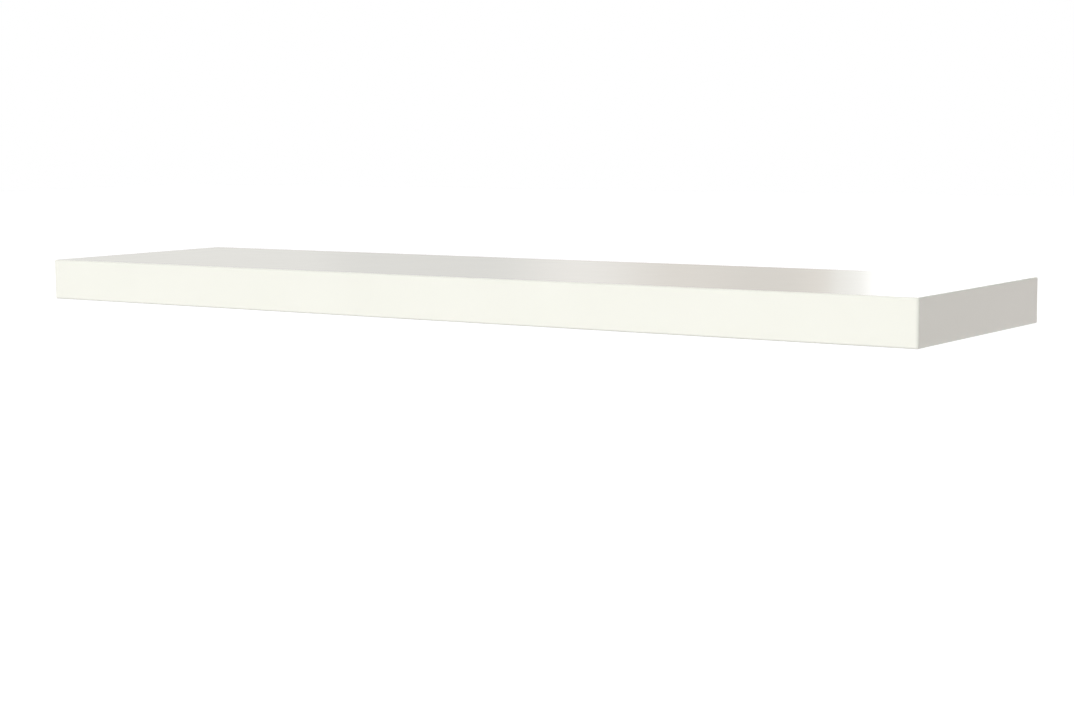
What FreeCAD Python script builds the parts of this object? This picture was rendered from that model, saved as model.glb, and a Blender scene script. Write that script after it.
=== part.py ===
import FreeCAD, Part
# Floating wall shelf: a hollow-core board that slides onto four steel rods of a wall bracket.
#
# Frame: X runs along the shelf, -Y points into the room and +Z up. The origin is on the wall plane, at
# mid length and mid thickness, so the board spans x +-600, y -300 to 0 and z +-25 mm.
#
# The board is a frame of particle board rails with bored guide blocks and paper honeycomb between them,
# closed by two thin skins and edged with plastic bands. The bracket is a folded steel channel with four
# rods welded to it. It sits in a recess at the back of the board. Two screws in the underside clamp the
# outer rods.
import math
import os

import Sketcher
from FreeCAD import Vector

# Driving dimensions, in millimetres, except the counts.
SIZES = (
    ("shelf_length", 1200, "overall length along X"),
    ("shelf_depth", 300, "overall depth from the wall to the front"),
    ("shelf_thickness", 50, "overall thickness"),
    ("skin_thickness", 3, "thickness of the top and bottom skins"),
    ("band_thickness", 2, "thickness of the plastic edge bands"),
    ("edge_rounding", 1.8, "radius on the outer edges of the bands"),
    ("frame_width", 30, "width of the front rail and the end rails"),
    ("back_rail_depth", 30, "depth of the back rail along Y"),
    ("guide_block_width", 60, "width of each bored guide block"),
    ("honeycomb_cell", 30, "pitch of the paper honeycomb, across flats"),
    ("honeycomb_wall", 0.8, "thickness of the honeycomb's paper walls"),
    ("rail_sheet", 2.5, "steel thickness of the wall rail"),
    ("rail_bend_radius", 2.5, "inside radius of the wall rail's folds"),
    ("rail_depth", 20, "depth of the wall rail from the wall to its flange edges"),
    ("rail_gap", 2, "room above, below and in front of the wall rail in its recess"),
    ("rail_end_gap", 3, "room at each end of the wall rail in its recess"),
    ("hole_count", 6, "wall screw holes in the rail, the two outer ones slotted"),
    ("hole_end_setback", 60, "distance of the outer wall holes from the shelf's ends"),
    ("hole_diameter", 6.5, "diameter of the wall holes and width of the slots"),
    ("slot_length", 12, "overall length of the two slots"),
    ("rod_count", 4, "support rods"),
    ("rod_end_setback", 150, "distance of the outer rods from the shelf's ends"),
    ("rod_diameter", 12, "diameter of a support rod"),
    ("rod_slide_fit", 0.1, "radial clearance of a rod in its bore"),
    ("rod_chamfer", 2, "chamfer on a rod's tip"),
    ("rod_weld_leg", 3, "leg of the fillet weld around a rod's root"),
    ("rod_tip_gap", 6, "room between a rod's tip and the bottom of its bore"),
    ("bore_end_wall", 12, "wood left between a bore's bottom and the front rail"),
    ("lock_screw_setback", 72, "distance of the lock screws from the wall"),
    ("screw_diameter", 6, "thread diameter of a lock screw"),
    ("screw_tip_chamfer", 0.8, "chamfer on a lock screw's tip"),
    ("screw_tip_gap", 0.1, "gap between a lock screw's tip and its rod"),
    ("screw_head_diameter", 11, "diameter of a lock screw's low head"),
    ("screw_head_height", 2.7, "height of a lock screw's low head"),
    ("screw_head_chamfer", 0.4, "chamfer on the head's outer edge"),
    ("screw_head_recess", 0.2, "depth of the head below the shelf's underside"),
    ("socket_width", 4, "width across flats of the head's hexagon socket"),
    ("socket_floor", 1, "metal left between the socket and the shank"),
    ("washer_diameter", 12, "outer diameter of a lock screw's washer"),
    ("washer_thickness", 1.6, "thickness of a lock screw's washer"),
    ("washer_bore_gap", 0.2, "radial clearance of a washer around its screw"),
    ("counterbore_gap", 1, "radial room around a washer in its counterbore"),
    ("insert_thread_gap", 0.05, "radial clearance of a screw in its threaded insert"),
    ("insert_wall", 1.45, "wall of a threaded insert outside its thread"),
    ("insert_barb", 0.5, "height of the barbs that hold an insert in the wood"),
    ("insert_barb_count", 3, "barbs on each insert"),
    ("insert_roof", 2.4, "wood left between an insert and the rod's bore"),
    ("passage_gap", 0.3, "radial room for the screw in the wood above the insert"),
    ("staple_crown", 12, "width of a frame staple"),
    ("staple_leg", 14, "length of a frame staple's legs, with the crown"),
    ("staple_wire", 1.4, "width and thickness of a frame staple's wire"),
    ("staple_offset", 18, "distance of a guide block's staples from its rod's axis"),
)

# Values that follow from the driving dimensions.
LAYOUT = (
    ("half_length", "Sizes.shelf_length / 2", "X of the right end"),
    ("half_thickness", "Sizes.shelf_thickness / 2", "Z of the top face"),
    ("skin_length", "Sizes.shelf_length - 2 * Sizes.band_thickness", "length between the end bands"),
    ("skin_depth", "Sizes.shelf_depth - Sizes.band_thickness", "depth behind the front band"),
    ("core_height", "Sizes.shelf_thickness - 2 * Sizes.skin_thickness", "height between the skins"),
    ("edge_radius", "min(Sizes.edge_rounding; 0.9 * Sizes.band_thickness)", "rounding the band can hold"),
    ("frame_inner_y", "Sizes.frame_width - Layout.skin_depth", "rear face of the front rail"),
    ("frame_inner_x", "Layout.skin_length / 2 - Sizes.frame_width", "inner face of the right end rail"),
    ("recess_depth", "Sizes.rail_depth + Sizes.rail_gap", "depth of the recess for the wall rail"),
    ("block_back_y", "-Layout.recess_depth - Sizes.back_rail_depth", "front face of the back rail"),
    ("block_depth", "Layout.block_back_y - Layout.frame_inner_y", "length of the guide blocks"),
    ("rail_length", "2 * (Layout.frame_inner_x - Sizes.rail_end_gap)", "length of the wall rail"),
    ("rail_height", "Layout.core_height - 2 * Sizes.rail_gap", "height of the wall rail"),
    ("first_hole_x", "Sizes.hole_end_setback - Layout.half_length", "X of the left slot"),
    ("hole_pitch", "-2 * Layout.first_hole_x / (Sizes.hole_count - 1)", "pitch of the wall holes"),
    ("first_rod_x", "Sizes.rod_end_setback - Layout.half_length", "X of the first rod's axis"),
    ("rod_pitch", "-2 * Layout.first_rod_x / (Sizes.rod_count - 1)", "pitch of the rods"),
    ("bore_bottom_y", "Layout.frame_inner_y + Sizes.bore_end_wall", "bottom of the rods' bores"),
    ("rod_tip_y", "Layout.bore_bottom_y + Sizes.rod_tip_gap", "tip of the rods"),
    ("bore_radius", "Sizes.rod_diameter / 2 + Sizes.rod_slide_fit", "radius of the rods' bores"),
    ("head_bottom_z", "Sizes.screw_head_recess - Layout.half_thickness", "outer face of a screw's head"),
    ("head_seat_z", "Layout.head_bottom_z + Sizes.screw_head_height", "face of the head on the washer"),
    ("counterbore_z", "Layout.head_seat_z + Sizes.washer_thickness", "floor of the counterbore"),
    ("counterbore_radius", "Sizes.washer_diameter / 2 + Sizes.counterbore_gap", "its radius"),
    ("screw_tip_z", "-Sizes.rod_diameter / 2 - Sizes.screw_tip_gap", "tip of a lock screw"),
    ("insert_bore_radius", "Sizes.screw_diameter / 2 + Sizes.insert_thread_gap", "insert's bore"),
    ("insert_radius", "Layout.insert_bore_radius + Sizes.insert_wall", "insert between its barbs"),
    ("insert_top_z", "-Layout.bore_radius - Sizes.insert_roof", "upper end of an insert"),
    ("insert_length", "Layout.insert_top_z - Layout.counterbore_z", "length of an insert"),
    ("passage_radius", "Sizes.screw_diameter / 2 + Sizes.passage_gap", "hole above the insert"),
)

TOLERANCE = 1e-6

# The points of a sketch's geometry, as the sketcher counts them.
START, END, CENTRE = range(1, 4)

doc = FreeCAD.newDocument("floating_shelf")
sheet = doc.addObject("Spreadsheet::Sheet", "Sizes")
for row, (alias, size, meaning) in enumerate(SIZES, start=1):
    sheet.set(f"A{row}", alias)
    sheet.set(f"B{row}", str(size))
    sheet.setAlias(f"B{row}", alias)
    sheet.set(f"C{row}", meaning)
doc.recompute()
layout = doc.addObject("App::VarSet", "Layout")
for alias, expression, meaning in LAYOUT:
    layout.addProperty("App::PropertyFloat", alias, "Layout", meaning)
    layout.setExpression(alias, expression)
doc.recompute()

parts = []


def value(expression):
    """The number that an expression on the sheet or the layout gives."""
    return float(sheet.evalExpression(expression))


def place(piece, x="0", y="0", z="0"):
    """Bind a sub-part's Placement to three expressions and list it for export."""
    for axis, expression in (("x", x), ("y", y), ("z", z)):
        piece.setExpression(f"Placement.Base.{axis}", expression)
    parts.append(piece)


# Sketches and features.


def new_body(name):
    body = doc.addObject("PartDesign::Body", name)
    body.Label = name
    return body


def new_sketch(body, name, role):
    """An empty sketch on one of the body's own origin planes."""
    sketch = body.newObject("Sketcher::SketchObject", f"{body.Name}_{name}")
    plane = next(item for item in body.Origin.OriginFeatures if item.Role == role)
    sketch.AttachmentSupport = [(plane, "")]
    sketch.MapMode = "FlatFace"
    return sketch


def bind_point(sketch, geometry, point, x, y):
    """Tie a point of a sketch to the expressions x and y, measured from the sketch's origin.

    The sketcher's horizontal axis is its geometry -1, which starts at the origin, and its vertical axis
    is -2.
    """
    for kind, axis, expression in (("DistanceX", -2, x), ("DistanceY", -1, y)):
        if expression == "0":
            sketch.addConstraint(Sketcher.Constraint("PointOnObject", geometry, point, axis))
            continue
        distance = Sketcher.Constraint(kind, -1, START, geometry, point, value(expression))
        index = sketch.addConstraint(distance)
        sketch.setExpression(f"Constraints[{index}]", expression)


def bind_radius(sketch, geometry, radius):
    index = sketch.addConstraint(Sketcher.Constraint("Radius", geometry, value(radius)))
    sketch.setExpression(f"Constraints[{index}]", radius)


def add_polygon(sketch, corners):
    """A closed polygon, with each corner a pair of expressions."""
    first = sketch.GeometryCount
    points = [Vector(value(x), value(y), 0) for x, y in corners]
    count = len(points)
    for number, point in enumerate(points):
        sketch.addGeometry(Part.LineSegment(point, points[(number + 1) % count]))
    for number in range(count):
        following = first + (number + 1) % count
        sketch.addConstraint(Sketcher.Constraint("Coincident", first + number, END, following, START))
    for number, (x, y) in enumerate(corners):
        bind_point(sketch, first + number, START, x, y)


def add_rectangle(sketch, low_x, high_x, low_y, high_y):
    add_polygon(sketch, ((low_x, low_y), (high_x, low_y), (high_x, high_y), (low_x, high_y)))


def add_circle(sketch, x, y, radius):
    centre = Vector(value(x), value(y), 0)
    circle = sketch.addGeometry(Part.Circle(centre, Vector(0, 0, 1), value(radius)))
    bind_point(sketch, circle, CENTRE, x, y)
    bind_radius(sketch, circle, radius)


def add_slot(sketch, x, half_span, radius):
    """A slot along the sketch's horizontal axis, centred on x, with arc centres half_span away."""
    normal = Vector(0, 0, 1)
    quarter = math.pi / 2
    left_x = f"({x}) - ({half_span})"
    right_x = f"({x}) + ({half_span})"
    left = Vector(value(left_x), 0, 0)
    right = Vector(value(right_x), 0, 0)
    rise = Vector(0, value(radius), 0)
    left_circle = Part.Circle(left, normal, value(radius))
    right_circle = Part.Circle(right, normal, value(radius))
    top = sketch.addGeometry(Part.LineSegment(left + rise, right + rise))
    right_arc = sketch.addGeometry(Part.ArcOfCircle(right_circle, -quarter, quarter))
    bottom = sketch.addGeometry(Part.LineSegment(left - rise, right - rise))
    left_arc = sketch.addGeometry(Part.ArcOfCircle(left_circle, quarter, 3 * quarter))
    joints = (
        (top, END, right_arc, END),
        (right_arc, START, bottom, END),
        (bottom, START, left_arc, END),
        (left_arc, START, top, START),
    )
    for joint in joints:
        sketch.addConstraint(Sketcher.Constraint("Tangent", *joint))
    for arc, arc_x in ((left_arc, left_x), (right_arc, right_x)):
        bind_point(sketch, arc, CENTRE, arc_x, "0")
        bind_radius(sketch, arc, radius)


def add_pad(body, sketch, length, both_sides=False):
    """Extrude a sketch along its normal, or by half the length to each side."""
    pad = body.newObject("PartDesign::Pad", f"{sketch.Name}_pad")
    pad.Profile = sketch
    pad.SideType = "Symmetric" if both_sides else "One side"
    pad.setExpression("Length", length)
    doc.recompute()


def add_pocket(body, sketch, length):
    """Cut a sketch into the solid that stands on the sketch's plane, along the sketch's normal."""
    before = body.Shape.Volume
    pocket = body.newObject("PartDesign::Pocket", f"{sketch.Name}_pocket")
    pocket.Profile = sketch
    pocket.Reversed = True
    pocket.setExpression("Length", length)
    doc.recompute()
    if body.Shape.Volume >= before:
        raise RuntimeError(f"{pocket.Name} cuts nothing")


def add_revolution(body, sketch):
    """Turn a sketch a full circle around its vertical axis."""
    revolution = body.newObject("PartDesign::Revolution", f"{sketch.Name}_revolution")
    revolution.Profile = sketch
    revolution.ReferenceAxis = (sketch, ["V_Axis"])
    revolution.Angle = 360
    doc.recompute()


def add_fillet(body, name, radius, wanted):
    """Round each edge of the body for which wanted(edge) is true."""
    base = body.Tip
    edges = [f"Edge{number}" for number, edge in enumerate(base.Shape.Edges, start=1) if wanted(edge)]
    fillet = body.newObject("PartDesign::Fillet", f"{body.Name}_{name}")
    fillet.Base = (base, edges)
    fillet.setExpression("Radius", radius)
    doc.recompute()


def spans(edge, axis):
    """Whether a straight edge runs along the given axis, 0 for X, 1 for Y or 2 for Z."""
    start, end = (vertex.Point for vertex in edge.Vertexes)
    return all(abs(start[other] - end[other]) < TOLERANCE for other in range(3) if other != axis)


def close(number, expression):
    return abs(number - value(expression)) < TOLERANCE


# The board: skins, frame, guide blocks, honeycomb and edge bands.


def add_board(name, length, depth, height, corner):
    """A plain board from its low corner, given as three expressions."""
    box = doc.addObject("Part::Box", name)
    box.Label = name
    box.setExpression("Length", length)
    box.setExpression("Width", depth)
    box.setExpression("Height", height)
    place(box, *corner)


def rod_x(number):
    """The X of a rod's axis, as an expression. Rods count from 0 at the left."""
    return f"Layout.first_rod_x + {number} * Layout.rod_pitch"


def make_skins():
    low_corner = ("-Layout.skin_length / 2", "-Layout.skin_depth", "Layout.core_height / 2")
    add_board("top_skin", "Layout.skin_length", "Layout.skin_depth", "Sizes.skin_thickness", low_corner)

    body = new_body("bottom_skin")
    outline = new_sketch(body, "outline", "XY_Plane")
    half = "Layout.skin_length / 2"
    add_rectangle(outline, f"-{half}", half, "-Layout.skin_depth", "0")
    for number in lock_rods:
        add_circle(outline, rod_x(number), "-Sizes.lock_screw_setback", "Layout.counterbore_radius")
    add_pad(body, outline, "Sizes.skin_thickness")
    place(body, z="-Layout.half_thickness")


def make_frame_rails():
    base_z = "-Layout.core_height / 2"
    front_corner = ("-Layout.skin_length / 2", "-Layout.skin_depth", base_z)
    add_board("front_rail", "Layout.skin_length", "Sizes.frame_width", "Layout.core_height", front_corner)
    for name, low_x in (
        ("left_end_rail", "-Layout.skin_length / 2"),
        ("right_end_rail", "Layout.frame_inner_x"),
    ):
        corner = (low_x, "Layout.frame_inner_y", base_z)
        add_board(name, "Sizes.frame_width", "-Layout.frame_inner_y", "Layout.core_height", corner)


def make_back_rail():
    """The rail between the end rails, bored for every rod. Its sketch is its rear face."""
    body = new_body("back_rail")
    face = new_sketch(body, "face", "XZ_Plane")
    half_height = "Layout.core_height / 2"
    add_rectangle(face, "-Layout.frame_inner_x", "Layout.frame_inner_x", f"-{half_height}", half_height)
    for number in range(rod_count):
        add_circle(face, rod_x(number), "0", "Layout.bore_radius")
    add_pad(body, face, "Sizes.back_rail_depth")
    place(body, y="-Layout.recess_depth")


def make_guide_block(number):
    """A block bored for a rod, and stepped from below where it carries a lock screw's insert."""
    body = new_body(f"rod_guide_block_{number + 1}")
    face = new_sketch(body, "face", "XZ_Plane")
    half_width = "Sizes.guide_block_width / 2"
    half_height = "Layout.core_height / 2"
    add_rectangle(face, f"-{half_width}", half_width, f"-{half_height}", half_height)
    add_pad(body, face, "Layout.block_depth")
    bore = new_sketch(body, "bore", "XZ_Plane")
    add_circle(bore, "0", "0", "Layout.bore_radius")
    add_pocket(body, bore, "Layout.block_back_y - Layout.bore_bottom_y")
    if number in lock_rods:
        add_screw_hole(body)
    place(body, x=rod_x(number), y="Layout.block_back_y")


def add_screw_hole(body):
    """Counterbore, insert hole and passage, turned about the lock screw's axis."""
    before = body.Shape.Volume
    steps = new_sketch(body, "steps", "XZ_Plane")
    steps.setExpression("AttachmentOffset.Base.z", "Layout.block_back_y + Sizes.lock_screw_setback")
    base_z = "-Layout.core_height / 2"
    add_polygon(
        steps,
        (
            ("0", base_z),
            ("Layout.counterbore_radius", base_z),
            ("Layout.counterbore_radius", "Layout.counterbore_z"),
            ("Layout.insert_radius", "Layout.counterbore_z"),
            ("Layout.insert_radius", "Layout.insert_top_z"),
            ("Layout.passage_radius", "Layout.insert_top_z"),
            ("Layout.passage_radius", "0"),
            ("0", "0"),
        ),
    )
    groove = body.newObject("PartDesign::Groove", f"{body.Name}_groove")
    groove.Profile = steps
    groove.ReferenceAxis = (steps, ["V_Axis"])
    groove.Angle = 360
    doc.recompute()
    if body.Shape.Volume >= before:
        raise RuntimeError(f"{groove.Name} cuts nothing")


def make_honeycomb(number, low_x, high_x):
    """One field of expanded paper honeycomb that fills a bay of the frame."""
    low_y = layout.frame_inner_y
    high_y = layout.block_back_y
    base_z = -layout.core_height / 2
    cell = sheet.honeycomb_cell
    row_pitch = cell * math.sqrt(3) / 2
    hexagon_radius = (cell - sheet.honeycomb_wall) / math.sqrt(3)
    middle = Vector((low_x + high_x) / 2, (low_y + high_y) / 2, base_z)
    rows = math.ceil((high_y - low_y) / 2 / row_pitch) + 1
    columns = math.ceil((high_x - low_x) / 2 / cell) + 1
    hexagons = []
    for row in range(-rows, rows + 1):
        shift = cell / 2 if row % 2 else 0
        for column in range(-columns, columns + 1):
            centre = middle + Vector(column * cell + shift, row * row_pitch, 0)
            corners = [
                centre + Vector(hexagon_radius * math.sin(turn), hexagon_radius * math.cos(turn), 0)
                for turn in (math.pi / 3 * step for step in range(7))
            ]
            hexagons.append(Part.Face(Part.makePolygon(corners)))
    field = Part.makePlane(high_x - low_x, high_y - low_y, Vector(low_x, low_y, base_z))
    walls = field.cut(hexagons).extrude(Vector(0, 0, layout.core_height))
    core = doc.addObject("Part::Feature", f"honeycomb_core_{number}")
    core.Label = f"honeycomb_core_{number}"
    # Scraps of wall that the bay's edge cuts off fall away, as they do on the real sheet.
    core.Shape = max(walls.Solids, key=lambda solid: solid.Volume)
    core.Placement = FreeCAD.Placement()
    parts.append(core)


def make_honeycomb_cores():
    """A field of honeycomb in each bay between the end rails and the guide blocks."""
    half_block = sheet.guide_block_width / 2
    rods = [layout.first_rod_x + number * layout.rod_pitch for number in range(rod_count)]
    low_sides = [-layout.frame_inner_x] + [rod + half_block for rod in rods]
    high_sides = [rod - half_block for rod in rods] + [layout.frame_inner_x]
    for number, (low_x, high_x) in enumerate(zip(low_sides, high_sides), start=1):
        make_honeycomb(number, low_x, high_x)


def make_edge_bands():
    """The front band runs full length over the ends of the side bands."""
    half_height = "Layout.half_thickness"
    body = new_body("front_edge_band")
    section = new_sketch(body, "section", "YZ_Plane")
    add_rectangle(section, "-Sizes.shelf_depth", "-Layout.skin_depth", f"-{half_height}", half_height)
    add_pad(body, section, "Sizes.shelf_length", both_sides=True)
    add_fillet(
        body,
        "rounding",
        "Layout.edge_radius",
        lambda edge: not all(close(vertex.Y, "-Layout.skin_depth") for vertex in edge.Vertexes),
    )
    place(body)

    for name, side in (("left_edge_band", "-1"), ("right_edge_band", "1")):
        inner_x = f"{side} * Layout.skin_length / 2"
        outer_x = f"{side} * Layout.half_length"
        body = new_body(name)
        section = new_sketch(body, "section", "XZ_Plane")
        add_rectangle(section, inner_x, outer_x, f"-{half_height}", half_height)
        add_pad(body, section, "Layout.skin_depth")
        add_fillet(
            body,
            "rounding",
            "Layout.edge_radius",
            lambda edge: spans(edge, 1) and close(edge.Vertexes[0].X, outer_x),
        )
        place(body)


def make_staple(middle, along_x, top):
    """A frame staple across a butt joint, driven from the frame's top or bottom face."""
    half_crown = sheet.staple_crown / 2
    wire = sheet.staple_wire
    leg = sheet.staple_leg
    outline = (
        (-half_crown, 0),
        (half_crown, 0),
        (half_crown, -leg),
        (half_crown - wire, -leg),
        (half_crown - wire, -wire),
        (wire - half_crown, -wire),
        (wire - half_crown, -leg),
        (-half_crown, -leg),
        (-half_crown, 0),
    )
    face = Part.Face(Part.makePolygon([Vector(x, -wire / 2, z) for x, z in outline]))
    staple = face.extrude(Vector(0, wire, 0))
    if not along_x:
        staple.rotate(Vector(), Vector(0, 0, 1), 90)
    if not top:
        staple.rotate(Vector(), Vector(1, 0, 0), 180)
    face_z = layout.core_height / 2 if top else -layout.core_height / 2
    staple.translate(Vector(*middle, face_z))
    return staple


def make_frame_staples():
    """One staple over each butt joint of the frame, above and below."""
    rear_y = layout.block_back_y
    front_y = layout.frame_inner_y
    corner_x = layout.frame_inner_x + sheet.frame_width / 2
    back_rail_y = rear_y + sheet.back_rail_depth / 2
    joints = []
    for side in (-1, 1):
        joints.append(((side * corner_x, front_y), False))
        joints.append(((side * layout.frame_inner_x, back_rail_y), True))
    for number in range(rod_count):
        staple_x = layout.first_rod_x + number * layout.rod_pitch + sheet.staple_offset
        joints.append(((staple_x, front_y), False))
        joints.append(((staple_x, rear_y), False))
    staples = [make_staple(middle, along_x, top) for middle, along_x in joints for top in (True, False)]
    group = doc.addObject("Part::Feature", "frame_staples")
    group.Label = "frame_staples"
    group.Shape = Part.makeCompound(staples)
    group.Placement = FreeCAD.Placement()
    parts.append(group)


# The wall bracket: a folded channel and the rods welded to it.


def make_wall_rail():
    """A channel that is open to the room, with its holes in the web on the wall plane."""
    body = new_body("wall_rail")
    section = new_sketch(body, "section", "YZ_Plane")
    top = "Layout.rail_height / 2"
    under_top = "Layout.rail_height / 2 - Sizes.rail_sheet"
    add_polygon(
        section,
        (
            ("0", f"-{top}"),
            ("0", top),
            ("-Sizes.rail_depth", top),
            ("-Sizes.rail_depth", under_top),
            ("-Sizes.rail_sheet", under_top),
            ("-Sizes.rail_sheet", f"-({under_top})"),
            ("-Sizes.rail_depth", f"-({under_top})"),
            ("-Sizes.rail_depth", f"-{top}"),
        ),
    )
    add_pad(body, section, "Layout.rail_length", both_sides=True)
    add_fillet(
        body,
        "outer_bend",
        "Sizes.rail_bend_radius + Sizes.rail_sheet",
        lambda edge: spans(edge, 0) and close(edge.Vertexes[0].Y, "0"),
    )
    add_fillet(
        body,
        "inner_bend",
        "Sizes.rail_bend_radius",
        lambda edge: spans(edge, 0)
        and close(edge.Vertexes[0].Y, "-Sizes.rail_sheet")
        and close(abs(edge.Vertexes[0].Z), under_top),
    )
    holes = new_sketch(body, "holes", "XZ_Plane")
    hole_count = int(sheet.hole_count)
    for number in range(hole_count):
        x = f"Layout.first_hole_x + {number} * Layout.hole_pitch"
        if number in (0, hole_count - 1):
            half_span = "(Sizes.slot_length - Sizes.hole_diameter) / 2"
            add_slot(holes, x, half_span, "Sizes.hole_diameter / 2")
        else:
            add_circle(holes, x, "0", "Sizes.hole_diameter / 2")
    add_pocket(body, holes, "Sizes.rail_sheet")
    place(body)


def make_support_rod(number):
    """A rod along -Y from the rail's web, with its weld at the root and a chamfered tip."""
    body = new_body(f"support_rod_{number + 1}")
    half_section = new_sketch(body, "half_section", "XY_Plane")
    radius = "Sizes.rod_diameter / 2"
    add_polygon(
        half_section,
        (
            ("0", "-Sizes.rail_sheet"),
            ("0", "Layout.rod_tip_y"),
            (f"{radius} - Sizes.rod_chamfer", "Layout.rod_tip_y"),
            (radius, "Layout.rod_tip_y + Sizes.rod_chamfer"),
            (radius, "-Sizes.rail_sheet - Sizes.rod_weld_leg"),
            (f"{radius} + Sizes.rod_weld_leg", "-Sizes.rail_sheet"),
        ),
    )
    add_revolution(body, half_section)
    place(body, x=rod_x(number))


# The lock screws in the underside, each with its washer and threaded insert.


def place_at_lock(body, number, z):
    place(body, x=rod_x(number), y="-Sizes.lock_screw_setback", z=z)


def make_threaded_insert(side, number):
    """A barbed sleeve. Each barb's square shoulder faces down, against the pull of the screw."""
    body = new_body(f"threaded_insert_{side}")
    half_section = new_sketch(body, "half_section", "XZ_Plane")
    outer = "Layout.insert_radius"
    crest = f"{outer} + Sizes.insert_barb"
    step = "Layout.insert_length / (Sizes.insert_barb_count + 1)"
    corners = [("Layout.insert_bore_radius", "0"), (outer, "0")]
    for barb in range(int(sheet.insert_barb_count)):
        shoulder_z = f"{barb + 0.5} * {step}"
        corners.append((outer, shoulder_z))
        corners.append((crest, shoulder_z))
        corners.append((outer, f"{barb + 1.2} * {step}"))
    corners.append((outer, "Layout.insert_length"))
    corners.append(("Layout.insert_bore_radius", "Layout.insert_length"))
    add_polygon(half_section, corners)
    add_revolution(body, half_section)
    place_at_lock(body, number, "Layout.counterbore_z")


def make_lock_washer(side, number):
    body = new_body(f"lock_washer_{side}")
    half_section = new_sketch(body, "half_section", "XZ_Plane")
    bore = "Sizes.screw_diameter / 2 + Sizes.washer_bore_gap"
    add_rectangle(half_section, bore, "Sizes.washer_diameter / 2", "0", "Sizes.washer_thickness")
    add_revolution(body, half_section)
    place_at_lock(body, number, "Layout.head_seat_z")


def make_lock_screw(side, number):
    """A low-head socket screw that stands head down, from the head's outer face to its tip."""
    body = new_body(f"lock_screw_{side}")
    half_section = new_sketch(body, "half_section", "XZ_Plane")
    head = "Sizes.screw_head_diameter / 2"
    shank = "Sizes.screw_diameter / 2"
    tip_z = "Layout.screw_tip_z - Layout.head_bottom_z"
    add_polygon(
        half_section,
        (
            ("0", "0"),
            (f"{head} - Sizes.screw_head_chamfer", "0"),
            (head, "Sizes.screw_head_chamfer"),
            (head, "Sizes.screw_head_height"),
            (shank, "Sizes.screw_head_height"),
            (shank, f"{tip_z} - Sizes.screw_tip_chamfer"),
            (f"{shank} - Sizes.screw_tip_chamfer", tip_z),
            ("0", tip_z),
        ),
    )
    add_revolution(body, half_section)
    socket = new_sketch(body, "socket", "XY_Plane")
    corners = []
    for corner in range(6):
        reach = "Sizes.socket_width / sqrt(3)"
        turn = 60 * corner
        corners.append((f"{reach} * cos({turn} deg)", f"{reach} * sin({turn} deg)"))
    add_polygon(socket, corners)
    add_pocket(body, socket, "Sizes.screw_head_height - Sizes.socket_floor")
    place_at_lock(body, number, "Layout.head_bottom_z")


rod_count = int(sheet.rod_count)
lock_rods = {0: "left", rod_count - 1: "right"}

make_skins()
make_frame_rails()
make_back_rail()
for rod in range(rod_count):
    make_guide_block(rod)
make_honeycomb_cores()
make_edge_bands()
make_frame_staples()
make_wall_rail()
for rod in range(rod_count):
    make_support_rod(rod)
for rod, side in lock_rods.items():
    make_threaded_insert(side, rod)
    make_lock_washer(side, rod)
    make_lock_screw(side, rod)
doc.recompute()

for item in doc.Objects:
    if "Invalid" in item.State or "Error" in item.State:
        raise RuntimeError(f"{item.Label} is in state {item.State}")
for part in parts:
    if part.Shape.isNull() or not part.Shape.isValid():
        raise RuntimeError(f"{part.Label} has no valid shape")

os.makedirs("parts", exist_ok=True)
for part in parts:
    part.Shape.exportStep(os.path.join("parts", f"{part.Label}.step"))
print(f"{len(parts)} sub-parts written")
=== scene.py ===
import math

import bmesh
import bpy
from mathutils import Matrix, Vector


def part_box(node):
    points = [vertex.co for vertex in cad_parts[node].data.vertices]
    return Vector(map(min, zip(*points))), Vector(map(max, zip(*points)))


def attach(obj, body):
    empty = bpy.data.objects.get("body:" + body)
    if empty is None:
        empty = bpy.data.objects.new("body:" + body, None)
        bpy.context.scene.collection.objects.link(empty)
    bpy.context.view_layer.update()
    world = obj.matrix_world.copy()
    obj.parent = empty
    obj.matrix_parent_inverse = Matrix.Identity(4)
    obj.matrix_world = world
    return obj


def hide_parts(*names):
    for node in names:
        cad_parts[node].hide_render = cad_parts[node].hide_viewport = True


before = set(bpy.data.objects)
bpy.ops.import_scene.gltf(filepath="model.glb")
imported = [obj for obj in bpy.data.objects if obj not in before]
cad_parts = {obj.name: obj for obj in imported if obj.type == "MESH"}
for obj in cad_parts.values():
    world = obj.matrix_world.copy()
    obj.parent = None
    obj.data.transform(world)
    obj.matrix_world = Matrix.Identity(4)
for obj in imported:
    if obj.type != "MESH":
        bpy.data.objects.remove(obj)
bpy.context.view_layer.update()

MM = 0.001
X, Y, Z = range(3)
FULL_TURN = 2 * math.pi

# Studio. A strength or light level of 1 shows a white surface as white.
CAMERA_PLACE = (1.4469, -2.1483, 0.1970)
CAMERA_TURN = math.radians(34.98)  # from +Y towards -X
CAMERA_TILT = math.radians(-6.48)
CAMERA_ROLL = math.radians(-0.53)
CAMERA_LENS = 70.36
SENSOR_WIDTH = 36
FLOOR_DROP = 1.5
FLOOR_HALF_SIZE = 40
FLOOR_TONE = 0.8
FLOOR_GLOW = 0.45
FILL_LEVEL = 0.40
KEY_FROM = (-0.30, -0.80, 0.55)
KEY_LEVEL = 0.68
REAR_FROM = (0.35, 0.85, 0.40)
REAR_LEVEL = 0.14
LAMP_SPREAD = math.radians(40)

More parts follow.
